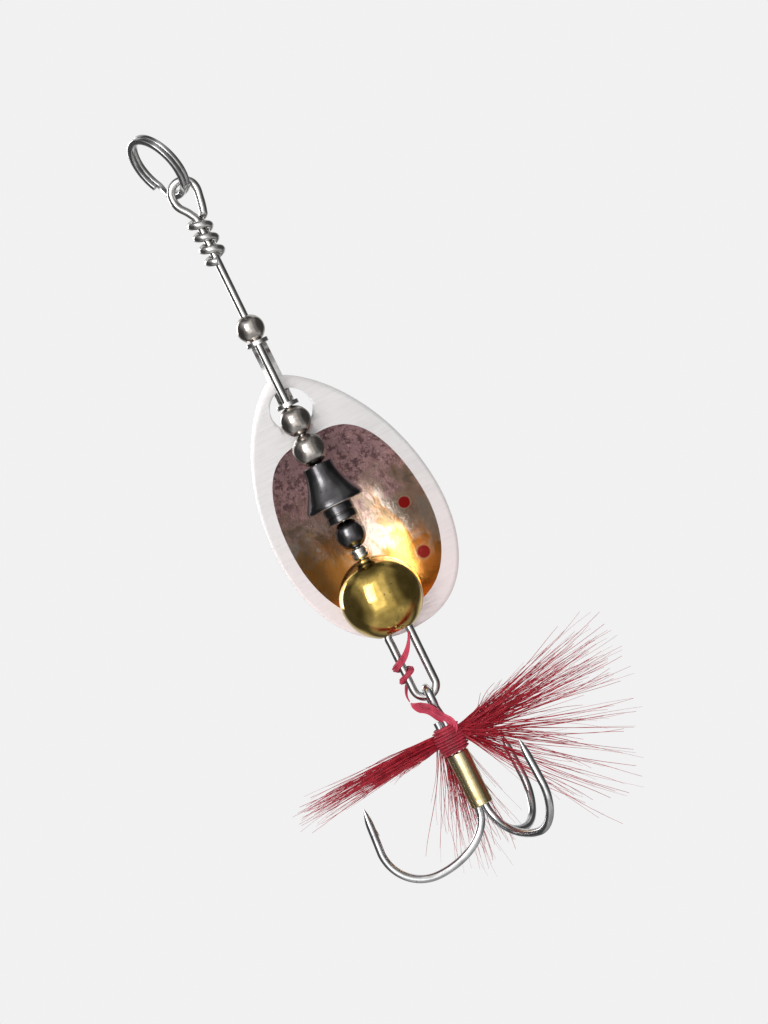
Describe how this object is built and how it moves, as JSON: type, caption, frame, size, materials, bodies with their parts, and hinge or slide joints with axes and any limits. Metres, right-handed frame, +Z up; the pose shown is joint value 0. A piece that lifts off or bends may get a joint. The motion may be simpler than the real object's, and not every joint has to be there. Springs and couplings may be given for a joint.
{
  "type": "inline spinner",
  "caption": "Fishing lure on a straight wire: egg-shaped dished blade on a clevis, metal beads, bell and ball, and a treble hook dressed with red fibres.",
  "frame": {"origin": "inside of the line ring's crown, where the line or a snap pulls", "axes": "+Z up along the main wire, +X to the right and +Y away from someone looking into the blade's bowl"},
  "size_m": [0.0235, 0.0137, 0.0548],
  "materials": {
    "ring_nickel": "bright nickel plate",
    "wire_steel": "drawn stainless wire",
    "bead_metal": "polished warm grey plate over brass",
    "clevis_nickel": "nickel plate over thin brass strip",
    "blade_metal": "satin silver rim, polished copper-coloured bowl, two dark red dots in the bowl",
    "black_nickel": "polished black nickel over brass",
    "collar_nickel": "bright nickel plate over brass",
    "ball_brass": "polished",
    "hook_nickel": "bright nickel over steel wire",
    "sleeve_brass": "bright drawn tube",
    "red_thread": "waxed thread",
    "red_fibre": "dyed hair or feather fibre"
  },
  "bodies": {
    "ring": {"line_ring": "ring_nickel"},
    "wire": {"main_wire": "wire_steel", "loop_thread": "red_thread"},
    "upper_bead": {"upper_bead": "bead_metal"},
    "clevis": {"clevis": "clevis_nickel"},
    "blade": {"blade": "blade_metal"},
    "upper_bearing": {"upper_bearing_bead": "bead_metal"},
    "lower_bearing": {"lower_bearing_bead": "bead_metal"},
    "bell": {"bell_body": "black_nickel"},
    "spacer": {"spacer_bead": "black_nickel"},
    "collar": {"collar": "collar_nickel"},
    "ball": {"brass_ball": "ball_brass"},
    "treble": {"double_hook": "hook_nickel", "single_hook": "hook_nickel", "shank_sleeve": "sleeve_brass", "tying_thread": "red_thread", "tuft_left": "red_fibre", "tuft_right": "red_fibre", "tuft_low_right": "red_fibre", "tuft_behind": "red_fibre"}
  },
  "joints": [
    {"name": "wire_swing", "type": "hinge", "parent": "ring", "child": "wire", "pos_m": [0.00153, 0, -0.0042], "axis": [0, 1, 0], "range_deg": [-75, 75]},
    {"name": "upper_bead_slide", "type": "slide", "parent": "wire", "child": "upper_bead", "axis": [0, 0, 1], "range_m": [0, 0.0038]},
    {"name": "clevis_spin", "type": "hinge", "parent": "wire", "child": "clevis", "pos_m": [0.00153, 0, -0.0179], "axis": [0, 0, 1], "continuous": true},
    {"name": "blade_swing", "type": "hinge", "parent": "clevis", "child": "blade", "pos_m": [0.00153, 0.00195, -0.01961], "axis": [1, 0, 0], "range_deg": [0, 55]},
    {"name": "upper_bearing_spin", "type": "hinge", "parent": "wire", "child": "upper_bearing", "pos_m": [0.00153, 0, -0.0214], "axis": [0, 0, 1], "continuous": true},
    {"name": "lower_bearing_spin", "type": "hinge", "parent": "wire", "child": "lower_bearing", "pos_m": [0.00153, 0, -0.02354], "axis": [0, 0, 1], "continuous": true},
    {"name": "bell_spin", "type": "hinge", "parent": "wire", "child": "bell", "pos_m": [0.00153, 0, -0.02675], "axis": [0, 0, 1], "continuous": true},
    {"name": "spacer_spin", "type": "hinge", "parent": "wire", "child": "spacer", "pos_m": [0.00153, 0, -0.02985], "axis": [0, 0, 1], "continuous": true},
    {"name": "collar_spin", "type": "hinge", "parent": "wire", "child": "collar", "pos_m": [0.00153, 0, -0.03127], "axis": [0, 0, 1], "continuous": true},
    {"name": "ball_spin", "type": "hinge", "parent": "wire", "child": "ball", "pos_m": [0.00153, 0, -0.03453], "axis": [0, 0, 1], "continuous": true},
    {"name": "treble_swing", "type": "hinge", "parent": "wire", "child": "treble", "pos_m": [0.00153, 0, -0.04194], "axis": [1, 0, 0], "range_deg": [-45, 45]}
  ]
}
